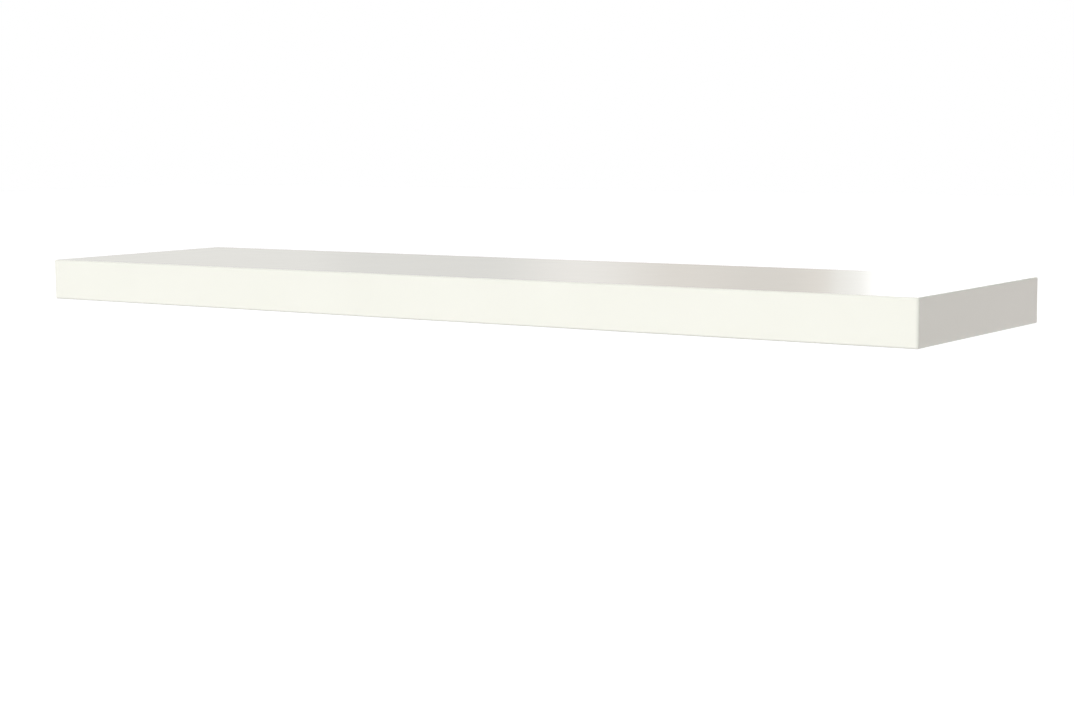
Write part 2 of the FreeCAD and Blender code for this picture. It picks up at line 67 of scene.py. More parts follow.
# Counts in the CAD, sizes that a CAD node's box doesn't give, and details that the CAD leaves out.
ROD_COUNT = 4
HONEYCOMB_COUNT = ROD_COUNT + 1
SIDES = ("left", "right")
BAND_ROUNDING = 0.9  # share of a band's thickness
BAND_STEPS = 10
ROUND_STEPS = 72
CORNER_REACH = 3 * MM
SEAM_BEVEL = 0.06 * MM
BOARD_BEVEL = 0.25 * MM
SHEET_BEVEL = 0.2 * MM
RAIL_SHEET = 2.5 * MM
RAIL_BEND = 2.5 * MM
WALL_HOLE = 6.5 * MM
WALL_SLOT = 12 * MM
WALL_HOLE_COUNT = 6
WALL_HOLE_SPAN = 1080 * MM
COUNTERBORE = 14 * MM
ROD_BORE = 12.2 * MM
ROD_RADIUS = 6 * MM
ROD_CHAMFER = 2 * MM
CHAMFER_ROUNDING = 0.3 * MM
ROOT_SINK = 0.05 * MM  # of a rod and its weld in the rail's sheet
WELD_LEG = 3 * MM
HEAT_MARK = 17 * MM
THREAD_RADIUS = 3 * MM
THREAD_PITCH = 1 * MM
THREAD_CHAMFER = 0.8 * MM
HEAD_HEIGHT = 2.7 * MM
HEAD_ROUNDING = 0.4 * MM
WASHER_GAP = 0.02 * MM
WASHER_PLAY = 0.2 * MM
WASHER_ROUNDING = 0.2 * MM
SOCKET_WIDTH = 4 * MM
SOCKET_DEPTH = 1.7 * MM
SOCKET_LEAD_IN = 0.2 * MM


def middle(node):
    """The middle of a CAD node's box."""
    low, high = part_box(node)
    return (low + high) / 2


def rod_places():
    """X of each support rod's axis, from left to right."""
    return [middle(f"support_rod_{number}").x for number in range(1, ROD_COUNT + 1)]


# Studio: camera, world, floor, lamps and the cards that the gloss mirrors.


def add_object(name, data):
    item = bpy.data.objects.new(name, data)
    bpy.context.scene.collection.objects.link(item)
    return item


def add_camera():
    camera = add_object("camera", bpy.data.cameras.new("camera"))
    camera.data.lens = CAMERA_LENS
    camera.data.sensor_width = SENSOR_WIDTH
    camera.matrix_world = (
        Matrix.Translation(CAMERA_PLACE)
        @ Matrix.Rotation(CAMERA_TURN, 4, "Z")
        @ Matrix.Rotation(math.pi / 2 + CAMERA_TILT, 4, "X")
        @ Matrix.Rotation(CAMERA_ROLL, 4, "Z")
    )
    bpy.context.scene.camera = camera


def add_seen_switch(tree):
    """A value that is 1 for camera, glossy and transmission rays, and 0 for the rest."""
    path = tree.nodes.new("ShaderNodeLightPath")
    total = path.outputs["Is Camera Ray"]
    for ray in ("Is Glossy Ray", "Is Transmission Ray"):
        highest = tree.nodes.new("ShaderNodeMath")
        highest.operation = "MAXIMUM"
        tree.links.new(total, highest.inputs[0])
        tree.links.new(path.outputs[ray], highest.inputs[1])
        total = highest.outputs[0]
    return total


def add_world():
    """White where it is seen, and a soft even fill elsewhere."""
    world = bpy.data.worlds.new("studio")
    world.use_nodes = True
    tree = world.node_tree
    strength = tree.nodes.new("ShaderNodeMapRange")
    strength.inputs["To Min"].default_value = FILL_LEVEL
    tree.links.new(add_seen_switch(tree), strength.inputs["Value"])
    background = tree.nodes["Background"]
    background.inputs["Color"].default_value = (1, 1, 1, 1)
    tree.links.new(strength.outputs["Result"], background.inputs["Strength"])
    bpy.context.scene.world = world


def add_plane(name, corners, material):
    """A flat piece of the studio, which isn't part of the shelf."""
    mesh = bpy.data.meshes.new(name)
    mesh.from_pydata(corners, [], [range(len(corners))])
    mesh.materials.append(material)
    plane = add_object(name, mesh)
    return plane


def add_floor():
    """Pale and matt. A little glow where it is seen brings it up to white, and the shadow stays."""
    material = bpy.data.materials.new("floor")
    material.use_nodes = True
    tree = material.node_tree
    shader = tree.nodes["Principled BSDF"]
    shader.inputs["Base Color"].default_value = (FLOOR_TONE, FLOOR_TONE, FLOOR_TONE, 1)
    shader.inputs["Roughness"].default_value = 0.9
    shader.inputs["Specular IOR Level"].default_value = 0
    shader.inputs["Emission Color"].default_value = (1, 1, 1, 1)
    glow = tree.nodes.new("ShaderNodeMapRange")
    glow.inputs["To Max"].default_value = FLOOR_GLOW
    tree.links.new(add_seen_switch(tree), glow.inputs["Value"])
    tree.links.new(glow.outputs["Result"], shader.inputs["Emission Strength"])
    corners = []
    for x, y in ((-1, -1), (1, -1), (1, 1), (-1, 1)):
        corners.append((FLOOR_HALF_SIZE * x, FLOOR_HALF_SIZE * y, -FLOOR_DROP))
    add_plane("floor", corners, material)


def add_sun(name, toward, level):
    """A wide, even lamp. A level of 1 lights a white surface that faces it up to white."""
    lamp = add_object(name, bpy.data.lights.new(name, "SUN"))
    lamp.data.energy = level * math.pi
    lamp.data.angle = LAMP_SPREAD
    lamp.rotation_mode = "QUATERNION"
    lamp.rotation_quaternion = Vector(toward).to_track_quat("Z", "Y")
    lamp.visible_glossy = False


# Cards that only the gloss sees. The tall back card is grey, with a soft strip light and a bright
# panel, and the foot under it is plain. The end card, lower still, is for the shelf's right end, and
# the side card for its top seen from the right. Each stop is a place along a card, and the tone and
# tint there.
CARD_DISTANCE = 4.0
CARD_TOP = 1.5
CARD_FADE = 0.8
CARD_FOOT = 0.26
CARD_HORIZON = -0.02
CARD_BOTTOM = -0.8
CARD_BRIGHTEST = 1.7
PURE_WHITE = (1.0, 1.0, 1.0)
PALE_GREY = (1.0, 0.985, 0.925)
SOFT_GREY = (1.0, 0.965, 0.905)
WARM_GREY = (1.0, 0.93, 0.83)
ROSE_GREY = (1.0, 0.84, 0.86)
BACK_STOPS = (
    (-6.0, 0.77, PALE_GREY),
    (-3.97, 0.77, PALE_GREY),
    (-3.62, 0.70, PALE_GREY),
    (-3.08, 0.69, PALE_GREY),
    (-2.66, 0.86, SOFT_GREY),
    (-2.23, 0.70, WARM_GREY),
    (-1.95, 0.64, WARM_GREY),
    (-1.84, 0.65, WARM_GREY),
    (-1.73, 0.72, WARM_GREY),
    (-1.62, 0.93, PALE_GREY),
    (-1.42, 1.70, PURE_WHITE),
    (-0.85, 1.70, PURE_WHITE),
    (-0.35, 0.90, PURE_WHITE),
    (0.9, 0.74, PALE_GREY),
    (3.0, 0.84, PALE_GREY),
    (4.2, 1.00, PURE_WHITE),
)
FOOT_STOPS = (
    (-6.0, 0.77, PALE_GREY),
    (-2.0, 0.70, PALE_GREY),
    (-0.5, 0.82, PALE_GREY),
    (0.9, 0.74, PALE_GREY),
    (3.0, 0.84, PALE_GREY),
    (4.2, 1.00, PURE_WHITE),
)
END_STOPS = (
    (1.5, 1.00, PURE_WHITE),
    (2.0, 1.02, ROSE_GREY),
    (2.8, 1.02, ROSE_GREY),
    (3.3, 1.00, PURE_WHITE),
)
SIDE_STOPS = (
    (-2.6, 1.00, PURE_WHITE),
    (-1.8, 0.84, PALE_GREY),
    (-0.3, 0.70, PALE_GREY),
    (1.0, 0.86, PALE_GREY),
    (2.6, 1.00, PURE_WHITE),
)


def card_material(name, along, stops):
    """A glow with the tones of the stops along the card, which fades to white towards the top."""
    material = bpy.data.materials.new(name)
    material.use_nodes = True
    tree = material.node_tree
    tree.nodes.clear()
    place = tree.nodes.new("ShaderNodeTexCoord")
    split = tree.nodes.new("ShaderNodeSeparateXYZ")
    share = tree.nodes.new("ShaderNodeMapRange")
    low, high = stops[0][0], stops[-1][0]
    share.inputs["From Min"].default_value = low
    share.inputs["From Max"].default_value = high
    ramp = tree.nodes.new("ShaderNodeValToRGB")
    ramp.color_ramp.interpolation = "EASE"
    fade = tree.nodes.new("ShaderNodeMapRange")
    fade.inputs["From Min"].default_value = CARD_FADE
    fade.inputs["From Max"].default_value = CARD_TOP
    faded = tree.nodes.new("ShaderNodeMixRGB")
    faded.inputs["Color2"].default_value = (*[1 / CARD_BRIGHTEST] * 3, 1)
    shades = []
    for at, tone, tint in stops:
        shades.append(((at - low) / (high - low), [tone / CARD_BRIGHTEST * part for part in tint]))
    fill_ramp(ramp, shades)
    emission = tree.nodes.new("ShaderNodeEmission")
    emission.inputs["Strength"].default_value = CARD_BRIGHTEST
    output = tree.nodes.new("ShaderNodeOutputMaterial")
    tree.links.new(place.outputs["Object"], split.inputs[0])
    tree.links.new(split.outputs[along], share.inputs["Value"])
    tree.links.new(share.outputs["Result"], ramp.inputs["Fac"])
    tree.links.new(split.outputs["Z"], fade.inputs["Value"])
    tree.links.new(fade.outputs["Result"], faded.inputs["Fac"])
    tree.links.new(ramp.outputs["Color"], faded.inputs["Color1"])
    tree.links.new(faded.outputs["Color"], emission.inputs["Color"])
    tree.links.new(emission.outputs["Emission"], output.inputs["Surface"])
    return material


def add_card(name, along, distance, bottom, top, stops):
    """A standing card: it runs along X or Y, at a distance from the origin along the other one."""
    start, end = stops[0][0], stops[-1][0]
    corners = []
    for at, height in ((start, bottom), (end, bottom), (end, top), (start, top)):
        corners.append((at, distance, height) if along == X else (distance, at, height))
    card = add_plane(name, corners, card_material(name, along, stops))
    card.visible_camera = False
    card.visible_diffuse = False
    card.visible_transmission = False
    card.visible_shadow = False


# Materials. A texture's scale is in waves or cells per metre, and colours are linear.

BRASS = ((0.66, 0.49, 0.23), (0.80, 0.63, 0.33))  # a darker and a lighter tone
PLATED_STEEL = ((0.44, 0.445, 0.45), (0.62, 0.62, 0.615))


def fill_ramp(ramp, stops):
    elements = ramp.color_ramp.elements
    while len(elements) < len(stops):
        elements.new(0.5)
    for element, (position, colour) in zip(elements, stops):
        element.position = position
        element.color = (*colour, 1)


class Finish:
    """A node material on the shelf's own coordinates, with a short call for each kind of node."""

    def __init__(self, name):
        self.material = bpy.data.materials.new(name)
        self.material.use_nodes = True
        self.tree = self.material.node_tree
        self.shader = self.tree.nodes["Principled BSDF"]
        self.place = self.node("ShaderNodeTexCoord").outputs["Object"]

    def node(self, kind, **settings):
        made = self.tree.nodes.new(kind)
        for name, setting in settings.items():
            setattr(made, name, setting)
        return made

    def feed(self, socket, source):
        """Link a socket to an output, or set it to a number or a colour."""
        if isinstance(source, bpy.types.NodeSocket):
            self.tree.links.new(source, socket)
        elif isinstance(source, tuple) and len(source) == 3 and socket.type == "RGBA":
            socket.default_value = (*source, 1)
        else:
            socket.default_value = source

    def set(self, **sources):
        """Feed the shader's sockets. Each name is the socket's own, in lower case with _ for spaces."""
        names = {socket.name.lower().replace(" ", "_"): socket for socket in self.shader.inputs}
        for name, source in sources.items():
            self.feed(names[name], source)

    def math(self, operation, first, second=0.0):
        made = self.node("ShaderNodeMath", operation=operation)
        self.feed(made.inputs[0], first)
        self.feed(made.inputs[1], second)
        return made.outputs[0]

    def length(self, first, second):
        """The long side of a right triangle."""
        corner = self.node("ShaderNodeCombineXYZ")
        self.feed(corner.inputs["X"], first)
        self.feed(corner.inputs["Y"], second)
        made = self.node("ShaderNodeVectorMath", operation="LENGTH")
        self.feed(made.inputs[0], corner.outputs["Vector"])
        return made.outputs["Value"]

    def stretched(self, scale, turn=(0, 0, 0), vector=None):
        """The place, scaled per axis and then turned."""
        made = self.node("ShaderNodeMapping")
        self.feed(made.inputs["Vector"], vector or self.place)
        made.inputs["Scale"].default_value = scale
        made.inputs["Rotation"].default_value = turn
        return made.outputs["Vector"]

    def noise(self, scale, vector=None, detail=3, roughness=0.5, distortion=0.0):
        made = self.node("ShaderNodeTexNoise")
        self.feed(made.inputs["Vector"], vector or self.place)
        made.inputs["Scale"].default_value = scale
        made.inputs["Detail"].default_value = detail
        made.inputs["Roughness"].default_value = roughness
        made.inputs["Distortion"].default_value = distortion
        return made

    def cells(self, scale, vector=None, feature="F1", randomness=1.0):
        made = self.node("ShaderNodeTexVoronoi", feature=feature)
        self.feed(made.inputs["Vector"], vector or self.place)
        made.inputs["Scale"].default_value = scale
        made.inputs["Randomness"].default_value = randomness
        return made

    def ramp(self, source, *stops):
        made = self.node("ShaderNodeValToRGB")
        fill_ramp(made, stops)
        self.feed(made.inputs["Fac"], source)
        return made.outputs["Color"]

    def between(self, source, low, high, from_low=0.0, from_high=1.0):
        """The source, mapped from one span to another."""
        made = self.node("ShaderNodeMapRange")
        self.feed(made.inputs["Value"], source)
        made.inputs["From Min"].default_value = from_low
        made.inputs["From Max"].default_value = from_high
        made.inputs["To Min"].default_value = low
        made.inputs["To Max"].default_value = high
        return made.outputs["Result"]

    def blend(self, share, first, second, kind="MIX"):
        made = self.node("ShaderNodeMix", data_type="RGBA", blend_type=kind)
        self.feed(made.inputs["Factor"], share)
        # The node has sockets of the same names for each of its data types.
        colours = [socket for socket in made.inputs if socket.type == "RGBA"]
        self.feed(colours[0], first)
        self.feed(colours[1], second)
        return next(socket for socket in made.outputs if socket.type == "RGBA")

    def shifted(self, amount, scale, detail=2):
        """The place, pushed about by noise, so that straight lines waver."""
        wave = self.noise(scale, detail=detail)
        push = self.node("ShaderNodeVectorMath", operation="MULTIPLY_ADD")
        self.feed(push.inputs[0], wave.outputs["Color"])
        push.inputs[1].default_value = (amount,) * 3
        self.feed(push.inputs[2], self.place)
        return push.outputs["Vector"]

    def bump(self, height, distance, under=None):
        made = self.node("ShaderNodeBump")
        made.inputs["Distance"].default_value = distance
        self.feed(made.inputs["Height"], height)
        if under is not None:
            self.feed(made.inputs["Normal"], under)
        return made.outputs["Normal"]


def make_lacquer():
    """White high-gloss paint with a faint orange peel."""
    finish = Finish("white_lacquer")
    clouds = finish.noise(5, detail=2).outputs["Fac"]
    peel = finish.noise(260, detail=2, roughness=0.4).outputs["Fac"]
    haze = finish.noise(35, detail=4).outputs["Fac"]
    finish.set(
        base_color=finish.ramp(clouds, (0.3, (0.868, 0.864, 0.846)), (0.7, (0.888, 0.885, 0.868))),
        roughness=finish.between(haze, 0.075, 0.098),
        ior=1.5,
        normal=finish.bump(peel, 0.004 * MM),
    )
    return finish.material


def make_band_plastic():
    """Warm white plastic strip, polished, with the faint lines of the trimming cutter."""
    finish = Finish("cream_band")
    clouds = finish.noise(7, detail=2).outputs["Fac"]
    fine = finish.noise(1, vector=finish.stretched((40, 40, 1500)), detail=3).outputs["Fac"]
    peel = finish.noise(300, detail=2).outputs["Fac"]
    finish.set(
        base_color=finish.ramp(clouds, (0.3, (0.872, 0.871, 0.794)), (0.7, (0.889, 0.888, 0.812))),
        roughness=finish.between(fine, 0.12, 0.22),
        ior=1.46,
        normal=finish.bump(peel, 0.012 * MM, finish.bump(fine, 0.003 * MM)),
    )
    return finish.material


def make_trimmed_plastic_painted_shade():
    """The same plastic where the trimming cutter and the scraper rounded it: duller from the trimming, and
    darker in colour as painted shade on the rounded edges.
    """
    finish = Finish("trimmed_band")
    clouds = finish.noise(60, detail=2).outputs["Fac"]
    chatter = finish.noise(1, vector=finish.stretched((900, 900, 120)), detail=2).outputs["Fac"]
    finish.set(
        # The base colour is darker than the band's: painted shade on the rounded edges.
        base_color=finish.ramp(clouds, (0.3, (0.80, 0.80, 0.73)), (0.7, (0.822, 0.822, 0.75))),
        roughness=finish.between(chatter, 0.26, 0.38),
        ior=1.46,
        normal=finish.bump(chatter, 0.004 * MM),
    )
    return finish.material


def make_fibreboard():
    """Brown hardboard: pressed fine fibres, as its cut edges and inner faces show."""
    finish = Finish("brown_fibreboard")
    fibres = finish.noise(900, vector=finish.shifted(0.002, 60), detail=4, roughness=0.7).outputs["Fac"]
    patches = finish.noise(45, detail=3).outputs["Fac"]
    tone = finish.ramp(
        fibres,
        (0.28, (0.13, 0.075, 0.036)),
        (0.5, (0.27, 0.165, 0.085)),
        (0.75, (0.43, 0.29, 0.165)),
    )
    finish.set(
        base_color=finish.blend(finish.between(patches, 0.0, 0.45), tone, (0.22, 0.13, 0.065)),
        roughness=finish.between(fibres, 0.62, 0.85),
        normal=finish.bump(fibres, 0.10 * MM),
    )
    return finish.material


def make_particle_board():
    """Sawn particle board: long flakes lying flat, coarse and open in the core, fine near the faces."""
    finish = Finish("sawn_particle_board")
    split = finish.node("ShaderNodeSeparateXYZ")
    finish.feed(split.inputs[0], finish.place)
    from_middle = finish.math("ABSOLUTE", split.outputs["Z"])
    wavering = finish.shifted(0.0035, 110, detail=3)
    coarse_place = finish.stretched((120, 140, 640), turn=(0.05, 0.06, 0.3), vector=wavering)
    fine_place = finish.stretched((380, 340, 1350), turn=(0.03, -0.05, 0.8), vector=wavering)
    flakes = finish.cells(1, vector=coarse_place)
    rims = finish.cells(1, vector=coarse_place, feature="DISTANCE_TO_EDGE").outputs["Distance"]
    chips = finish.cells(1, vector=fine_place)
    fibre_place = finish.stretched((260, 260, 2600), vector=wavering)
    fibres = finish.noise(1, vector=fibre_place, detail=2).outputs["Fac"]
    flake_tone = finish.ramp(
        flakes.outputs["Color"],
        (0.10, (0.17, 0.105, 0.06)),
        (0.22, (0.40, 0.265, 0.15)),
        (0.45, (0.54, 0.385, 0.225)),
        (0.62, (0.49, 0.315, 0.175)),
        (0.78, (0.66, 0.50, 0.315)),
        (0.95, (0.74, 0.595, 0.40)),
    )
    chip_tone = finish.ramp(
        chips.outputs["Color"],
        (0.15, (0.26, 0.165, 0.09)),
        (0.40, (0.47, 0.33, 0.19)),
        (0.65, (0.58, 0.42, 0.25)),
        (0.90, (0.70, 0.545, 0.35)),
    )
    patches = finish.noise(170, detail=3).outputs["Fac"]
    near_face = finish.between(from_middle, 0.0, 1.0, 0.011, 0.020)
    fineness = finish.math("ADD", near_face, finish.between(patches, -0.45, 0.75, 0.35, 0.65))
    is_fine = finish.between(fineness, 0.0, 1.0, 0.25, 0.65)
    tone = finish.blend(is_fine, flake_tone, chip_tone)
    grained = finish.blend(finish.between(fibres, 0.0, 0.55, 0.35, 0.75), tone, (0.30, 0.195, 0.105))
    openness = finish.math("SUBTRACT", 1.0, is_fine)
    torn = finish.noise(300, detail=3, roughness=0.6).outputs["Fac"]
    torn_rims = finish.math("SUBTRACT", rims, finish.between(torn, -0.22, 0.18))
    open_rims = finish.between(torn_rims, 1.0, 0.0, 0.0, 0.05)
    # The open gaps between the coarse flakes are sunk by the bump, and their base colour is darkened:
    # painted shade in the voids.
    gap_and_painted_shade = finish.math("MULTIPLY", open_rims, openness)
    finish.set(
        base_color=finish.blend(finish.math("MULTIPLY", gap_and_painted_shade, 0.75), grained, (0.085, 0.05, 0.028)),
        roughness=finish.between(fibres, 0.6, 0.88),
        normal=finish.bump(finish.math("SUBTRACT", finish.math("MULTIPLY", fibres, 0.3), gap_and_painted_shade), 0.22 * MM),
    )
    return finish.material


def make_softwood():
    """Spruce with its growth rings end-on to Y, so that the grain runs along the rods."""
    finish = Finish("spruce")
    wavering = finish.shifted(0.004, 14)
    rings = finish.node("ShaderNodeTexWave", wave_type="RINGS", rings_direction="Y")
    finish.feed(rings.inputs["Vector"], finish.stretched((1, 0.05, 1), vector=wavering))
    rings.inputs["Scale"].default_value = 55
    rings.inputs["Distortion"].default_value = 1.5
    rings.inputs["Detail"].default_value = 2
    fibres = finish.noise(1, vector=finish.stretched((1800, 60, 1800)), detail=3).outputs["Fac"]
    tone = finish.ramp(
        rings.outputs["Fac"],
        (0.0, (0.74, 0.55, 0.34)),
        (0.62, (0.68, 0.48, 0.28)),
        (0.88, (0.48, 0.29, 0.14)),
        (1.0, (0.60, 0.41, 0.22)),
    )
    finish.set(
        base_color=finish.blend(finish.between(fibres, 0.0, 0.35), tone, (0.50, 0.32, 0.17)),
        roughness=finish.between(fibres, 0.5, 0.7),
        normal=finish.bump(fibres, 0.05 * MM),
    )
    return finish.material


def make_kraft():
    """Brown paper with long fibres and specks."""
    finish = Finish("kraft_paper")
    fibre_place = finish.stretched((700, 700, 160))
    fibres = finish.noise(1, vector=fibre_place, detail=4, roughness=0.65).outputs["Fac"]
    specks = finish.noise(1900, detail=1).outputs["Fac"]
    tone = finish.ramp(fibres, (0.3, (0.38, 0.25, 0.135)), (0.7, (0.58, 0.42, 0.25)))
    finish.set(
        base_color=finish.blend(finish.between(specks, 0.0, 0.8, 0.62, 0.74), tone, (0.20, 0.12, 0.06)),
        roughness=0.85,
        normal=finish.bump(fibres, 0.06 * MM),
    )
    return finish.material


def weld_distance(finish, through):
    """How far a point of the bracket is from the root of the nearest rod, for the heat of its weld.

    Along Y, the way through the sheet, each millimetre counts as through millimetres.
    """
    split = finish.node("ShaderNodeSeparateXYZ")
    finish.feed(split.inputs[0], finish.place)
    nearest = 10 * HEAT_MARK
    for x in rod_places():
        apart = finish.math("ABSOLUTE", finish.math("SUBTRACT", split.outputs["X"], x))
        nearest = finish.math("MINIMUM", apart, nearest)
    waves = finish.noise(150, detail=3).outputs["Fac"]
    uneven = finish.between(waves, -3 * MM, 3 * MM, 0.25, 0.75)
    around = finish.math("ADD", finish.length(nearest, split.outputs["Z"]), uneven)
    behind = finish.math("ADD", split.outputs["Y"], RAIL_SHEET)
    return finish.length(around, finish.math("MULTIPLY", behind, through))


def make_zinc(name, along, crystal_share, line_depth, through):
    """Zinc-plated sheet or bar: cloudy crystals over fine drawing lines along one axis.

    Round each weld the heat has burnt the zinc to a dull grey with a straw-brown ring. through says
    how fast the heat's mark wears off along Y.
    """
    finish = Finish(name)
    crystals = finish.cells(95, vector=finish.shifted(0.006, 70))
    clouds = finish.noise(28, detail=4, roughness=0.6).outputs["Fac"]
    scale = [900, 900, 900]
    scale[along] = 12
    lines = finish.noise(1, vector=finish.stretched(scale), detail=2).outputs["Fac"]
    tone = finish.ramp(clouds, (0.3, (0.50, 0.515, 0.535)), (0.7, (0.66, 0.67, 0.68)))
    sparkle = finish.ramp(crystals.outputs["Color"], (0.1, (0.47, 0.485, 0.50)), (0.9, (0.72, 0.73, 0.735)))
    shine = finish.math("ADD", finish.math("MULTIPLY", clouds, 0.7), finish.math("MULTIPLY", lines, 0.3))
    away = finish.math("DIVIDE", weld_distance(finish, through), HEAT_MARK)
    heat_tone = finish.ramp(
        away,
        (0.50, (0.30, 0.285, 0.28)),
        (0.64, (0.40, 0.34, 0.27)),
        (0.76, (0.50, 0.47, 0.44)),
        (0.92, (0.60, 0.60, 0.595)),
    )
    burnt = finish.between(away, 1.0, 0.0, 0.62, 1.0)
    dullness = finish.between(shine, 0.26, 0.46, 0.3, 0.7)
    crystal_relief = finish.bump(crystals.outputs["Distance"], crystal_share * 0.05 * MM)
    finish.set(
        base_color=finish.blend(burnt, finish.blend(crystal_share, tone, sparkle), heat_tone),
        metallic=1.0,
        roughness=finish.math("ADD", dullness, finish.math("MULTIPLY", burnt, 0.22)),
        normal=finish.bump(lines, line_depth, crystal_relief),
    )
    return finish.material


def make_weld_steel():
    """A bare weld bead: grey steel with brown and blue oxide in patches."""
    finish = Finish("weld_steel")
    patches = finish.noise(260, detail=3).outputs["Fac"]
    grain = finish.noise(1600, detail=2).outputs["Fac"]
    tone = finish.ramp(
        patches,
        (0.32, (0.23, 0.24, 0.275)),
        (0.48, (0.40, 0.39, 0.38)),
        (0.58, (0.36, 0.31, 0.255)),
        (0.70, (0.46, 0.45, 0.44)),
    )
    finish.set(
        base_color=tone,
        metallic=1.0,
        roughness=finish.between(patches, 0.28, 0.5, 0.3, 0.7),
        normal=finish.bump(grain, 0.01 * MM),
    )
    return finish.material


def make_turned_metal(name, centre, dark, light):
    """Turned and plated metal with fine rings about an axis that stands along Z."""
    finish = Finish(name)
    offset = finish.node("ShaderNodeVectorMath", operation="SUBTRACT")
    finish.feed(offset.inputs[0], finish.place)
    offset.inputs[1].default_value = (centre[X], centre[Y], 0)
    flat = finish.node("ShaderNodeVectorMath", operation="MULTIPLY")
    finish.feed(flat.inputs[0], offset.outputs["Vector"])
    flat.inputs[1].default_value = (1, 1, 0)
    reach = finish.node("ShaderNodeVectorMath", operation="LENGTH")
    finish.feed(reach.inputs[0], flat.outputs["Vector"])
    radius = reach.outputs["Value"]
    rings = finish.node("ShaderNodeTexNoise", noise_dimensions="1D")
    finish.feed(rings.inputs["W"], radius)
    rings.inputs["Scale"].default_value = 5200
    rings.inputs["Detail"].default_value = 1
    clouds = finish.noise(420, detail=3).outputs["Fac"]
    finish.set(
        base_color=finish.ramp(clouds, (0.3, dark), (0.7, light)),
        metallic=1.0,
        roughness=finish.between(clouds, 0.24, 0.40),
        normal=finish.bump(rings.outputs["Fac"], 0.006 * MM),
    )
    return finish.material


def make_staple_wire():
    """Drawn galvanised wire with a trace of lacquer from the stick that it was glued in."""
    finish = Finish("galvanised_wire")
    streaks = finish.noise(1, vector=finish.stretched((2500, 2500, 300)), detail=2).outputs["Fac"]
    clouds = finish.noise(300, detail=3).outputs["Fac"]
    finish.set(
        base_color=finish.ramp(clouds, (0.35, (0.52, 0.51, 0.47)), (0.65, (0.68, 0.68, 0.66))),
        metallic=1.0,
        roughness=finish.between(streaks, 0.25, 0.5),
        normal=finish.bump(streaks, 0.01 * MM),
    )
    return finish.material


# Mesh tools.


def add_mesh(name, bm, materials):
    mesh = bpy.data.meshes.new(name)
    bmesh.ops.recalc_face_normals(bm, faces=bm.faces)
    bm.to_mesh(mesh)
    bm.free()
    for material in materials:
        mesh.materials.append(material)
    return add_object(name, mesh)


def dress(piece, body, slot, *nodes):
    """Say what a new piece moves with, and hide the CAD nodes that it stands for. The slot argument is not
    used.
    """
    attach(piece, body)
    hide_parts(*nodes)


def smooth(piece, sharp_angle=35):
    """Smooth shading that leaves flat faces flat and keeps edges sharper than the angle."""
    piece.data.shade_smooth()
    piece.data.set_sharp_from_angle(angle=math.radians(sharp_angle))
    even = piece.modifiers.new("even_normals", "WEIGHTED_NORMAL")
    even.keep_sharp = True


def freeze(piece):
    """Replace a piece's mesh by what its modifiers make of it."""
    bpy.context.view_layer.update()
    shaped = piece.evaluated_get(bpy.context.evaluated_depsgraph_get())
    mesh = bpy.data.meshes.new_from_object(shaped)
    piece.modifiers.clear()
    piece.data = mesh


def mend(bm):
    """Merge points that lie on each other, and close what that leaves open."""
    hair = 0.001 * MM
    bmesh.ops.remove_doubles(bm, verts=bm.verts, dist=hair)
    bmesh.ops.dissolve_degenerate(bm, edges=bm.edges, dist=hair)
    bmesh.ops.holes_fill(bm, edges=[edge for edge in bm.edges if edge.is_boundary])


def combine(piece, other, operation):
    """Cut another object out of a piece, or join it to the piece. The other object goes."""
    boolean = piece.modifiers.new(operation, "BOOLEAN")
    boolean.operation = operation
    boolean.solver = "EXACT"
    boolean.object = other
    freeze(piece)
    bpy.data.objects.remove(other)
    bm = bmesh.new()
    bm.from_mesh(piece.data)
    mend(bm)
    bm.to_mesh(piece.data)
    bm.free()


def bevel_edges(piece, width, segments=2, least_angle=40):
    bevel = piece.modifiers.new("bevel", "BEVEL")
    bevel.width = width
    bevel.segments = segments
    bevel.limit_method = "ANGLE"
    bevel.angle_limit = math.radians(least_angle)
    freeze(piece)


def box_bmesh(low, high):
    bm = bmesh.new()
    bmesh.ops.create_cube(bm, size=1)
    for vert in bm.verts:
        vert.co = [low[axis] if vert.co[axis] < 0 else high[axis] for axis in range(3)]
    return bm


def prism(name, outline, axis, low, high):
    """A solid of straight sides. Its outline is in the two axes other than its own, in order."""
    bm = bmesh.new()
    first, second = (other for other in range(3) if other != axis)
    rings = []
    for level in (low, high):
        ring = []
        for across, along in outline:
            place = [0.0, 0.0, 0.0]
            place[first] = across
            place[second] = along
            place[axis] = level
            ring.append(bm.verts.new(place))
        rings.append(ring)
        bm.faces.new(ring)
    count = len(outline)
    for number in range(count):
        following = (number + 1) % count
        bm.faces.new((rings[0][number], rings[0][following], rings[1][following], rings[1][number]))
    return add_mesh(name, bm, [])


def circle(centre, radius, count=64, start=0.0, turn=FULL_TURN):
    """Points round a circle, or along an arc with both of its ends."""
    steps = count if turn == FULL_TURN else count + 1
    return [
        (
            centre[0] + radius * math.cos(start + turn * step / count),
            centre[1] + radius * math.sin(start + turn * step / count),
        )
        for step in range(steps)
    ]


def lathe(profile, segments=64, closed=False):
    """Turn a profile of (radius, height) points about Z. A radius of 0 is a point on the axis."""
    bm = bmesh.new()
    rings = []
    for radius, height in profile:
        if radius == 0:
            rings.append([bm.verts.new((0, 0, height))] * segments)
            continue
        points = circle((0, 0), radius, segments)
        rings.append([bm.verts.new((x, y, height)) for x, y in points])
    pairs = list(zip(rings, rings[1:]))
    if closed:
        pairs.append((rings[-1], rings[0]))
    for lower, upper in pairs:
        for number in range(segments):
            following = (number + 1) % segments
            corners = []
            for vert in (lower[number], lower[following], upper[following], upper[number]):
                if vert not in corners:
                    corners.append(vert)
            bm.faces.new(corners)
    return bm


